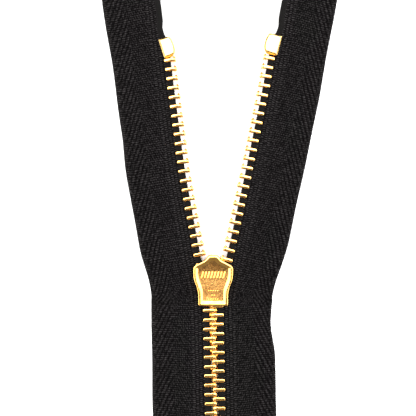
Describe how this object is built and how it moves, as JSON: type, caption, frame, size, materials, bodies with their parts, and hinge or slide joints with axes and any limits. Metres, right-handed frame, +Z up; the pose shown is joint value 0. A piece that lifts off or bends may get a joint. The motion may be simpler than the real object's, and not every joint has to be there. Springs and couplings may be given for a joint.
{
  "type": "zipper",
  "caption": "Closed-end metal zipper: two woven tapes with rows of clamped teeth, a locking slider with a hidden pull tab, and end stops, half open in a V.",
  "frame": {"origin": "middle of the footprint, on the surface that the zipper lies on", "axes": "+Y along the closed chain to its open end, +Z up out of the slider's back, +X to the right"},
  "size_m": [0.065, 0.1424, 0.0069],
  "materials": {
    "black_tape": "matte herringbone twill",
    "black_cord": "matte wrapped cord",
    "gold_teeth": "polished",
    "gold_stop": "polished",
    "gold_slider": "polished with a mottled panel",
    "gold_tab": "polished",
    "spring_steel": "bright"
  },
  "bodies": {
    "closed_chain": {"left_tape_0": "black_tape", "left_cord_0": "black_cord", "left_teeth_0": "gold_teeth", "right_tape_0": "black_tape", "right_cord_0": "black_cord", "right_teeth_0": "gold_teeth", "bottom_stop": "gold_stop"},
    "left_arm_1": {"left_tape_1": "black_tape", "left_cord_1": "black_cord", "left_teeth_1": "gold_teeth"},
    "left_arm_2": {"left_tape_2": "black_tape", "left_cord_2": "black_cord", "left_teeth_2": "gold_teeth"},
    "left_arm_3": {"left_tape_3": "black_tape", "left_cord_3": "black_cord", "left_teeth_3": "gold_teeth"},
    "left_arm_4": {"left_tape_4": "black_tape", "left_cord_4": "black_cord", "left_teeth_4": "gold_teeth", "left_top_stop": "gold_stop"},
    "right_arm_1": {"right_tape_1": "black_tape", "right_cord_1": "black_cord", "right_teeth_1": "gold_teeth"},
    "right_arm_2": {"right_tape_2": "black_tape", "right_cord_2": "black_cord", "right_teeth_2": "gold_teeth"},
    "right_arm_3": {"right_tape_3": "black_tape", "right_cord_3": "black_cord", "right_teeth_3": "gold_teeth"},
    "right_arm_4": {"right_tape_4": "black_tape", "right_cord_4": "black_cord", "right_teeth_4": "gold_teeth", "right_top_stop": "gold_stop"},
    "slider": {"slider_body": "gold_slider", "slider_crown": "gold_slider"},
    "pull_tab": {"pull_tab": "gold_tab"},
    "lock_spring": {"lock_spring": "spring_steel"}
  },
  "joints": [
    {"name": "slider_slide", "type": "slide", "parent": "closed_chain", "child": "slider", "axis": [0, 1, 0], "range_m": [0, 0.05389], "deforming": ["left_tape_1", "left_cord_1", "left_teeth_1", "left_tape_2", "left_cord_2", "left_teeth_2", "left_tape_3", "left_cord_3", "left_teeth_3", "left_tape_4", "left_cord_4", "left_teeth_4", "right_tape_1", "right_cord_1", "right_teeth_1", "right_tape_2", "right_cord_2", "right_teeth_2", "right_tape_3", "right_cord_3", "right_teeth_3", "right_tape_4", "right_cord_4", "right_teeth_4", "lock_spring"]},
    {"name": "left_arm_1_bend", "type": "hinge", "parent": "closed_chain", "child": "left_arm_1", "pos_m": [-0.0041, -0.01862, 0.0045], "axis": [0, 0, 1], "range_deg": [-11.41, 0]},
    {"name": "left_arm_2_bend", "type": "hinge", "parent": "left_arm_1", "child": "left_arm_2", "pos_m": [-0.00662, -0.00612, 0.0045], "axis": [0, 0, 1], "range_deg": [0, 2.21]},
    {"name": "left_arm_3_bend", "type": "hinge", "parent": "left_arm_2", "child": "left_arm_3", "pos_m": [-0.00972, 0.01299, 0.0045], "axis": [0, 0, 1], "range_deg": [0, 2.81]},
    {"name": "left_arm_4_bend", "type": "hinge", "parent": "left_arm_3", "child": "left_arm_4", "pos_m": [-0.01215, 0.03464, 0.0045], "axis": [0, 0, 1], "range_deg": [0, 11.81]},
    {"name": "right_arm_1_bend", "type": "hinge", "parent": "closed_chain", "child": "right_arm_1", "pos_m": [-0.0041, -0.01862, 0.0045], "axis": [0, 0, 1], "range_deg": [0, 15.81]},
    {"name": "right_arm_2_bend", "type": "hinge", "parent": "right_arm_1", "child": "right_arm_2", "pos_m": [-0.00063, -0.00635, 0.0045], "axis": [0, 0, 1], "range_deg": [-2.31, 0]},
    {"name": "right_arm_3_bend", "type": "hinge", "parent": "right_arm_2", "child": "right_arm_3", "pos_m": [0.00389, 0.01248, 0.0045], "axis": [0, 0, 1], "range_deg": [-0.81, 0]},
    {"name": "right_arm_4_bend", "type": "hinge", "parent": "right_arm_3", "child": "right_arm_4", "pos_m": [0.00868, 0.03372, 0.0045], "axis": [0, 0, 1], "range_deg": [-16.71, 0]},
    {"name": "pull_tab_swing", "type": "hinge", "parent": "slider", "child": "pull_tab", "pos_m": [-0.0041, -0.01622, 0.0016], "axis": [1, 0, 0], "range_deg": [-3, 172]},
    {"name": "lock_spring_lift", "type": "hinge", "parent": "slider", "child": "lock_spring", "pos_m": [-0.0041, -0.01392, 0.00108], "axis": [1, 0, 0], "range_deg": [-0.1, 5.1]}
  ],
  "couplings": [
    {"joint": "left_arm_1_bend", "follows": "slider_slide", "rad_per_m": -3.6919},
    {"joint": "left_arm_2_bend", "follows": "slider_slide", "rad_per_m": 0.71247},
    {"joint": "left_arm_3_bend", "follows": "slider_slide", "rad_per_m": 0.90678},
    {"joint": "left_arm_4_bend", "follows": "slider_slide", "rad_per_m": 3.8214},
    {"joint": "right_arm_1_bend", "follows": "slider_slide", "rad_per_m": 5.1168},
    {"joint": "right_arm_2_bend", "follows": "slider_slide", "rad_per_m": -0.74485},
    {"joint": "right_arm_3_bend", "follows": "slider_slide", "rad_per_m": -0.25908},
    {"joint": "right_arm_4_bend", "follows": "slider_slide", "rad_per_m": -5.4083},
    {"joint": "lock_spring_lift", "follows": "pull_tab_swing", "ratio": 0.02907}
  ]
}
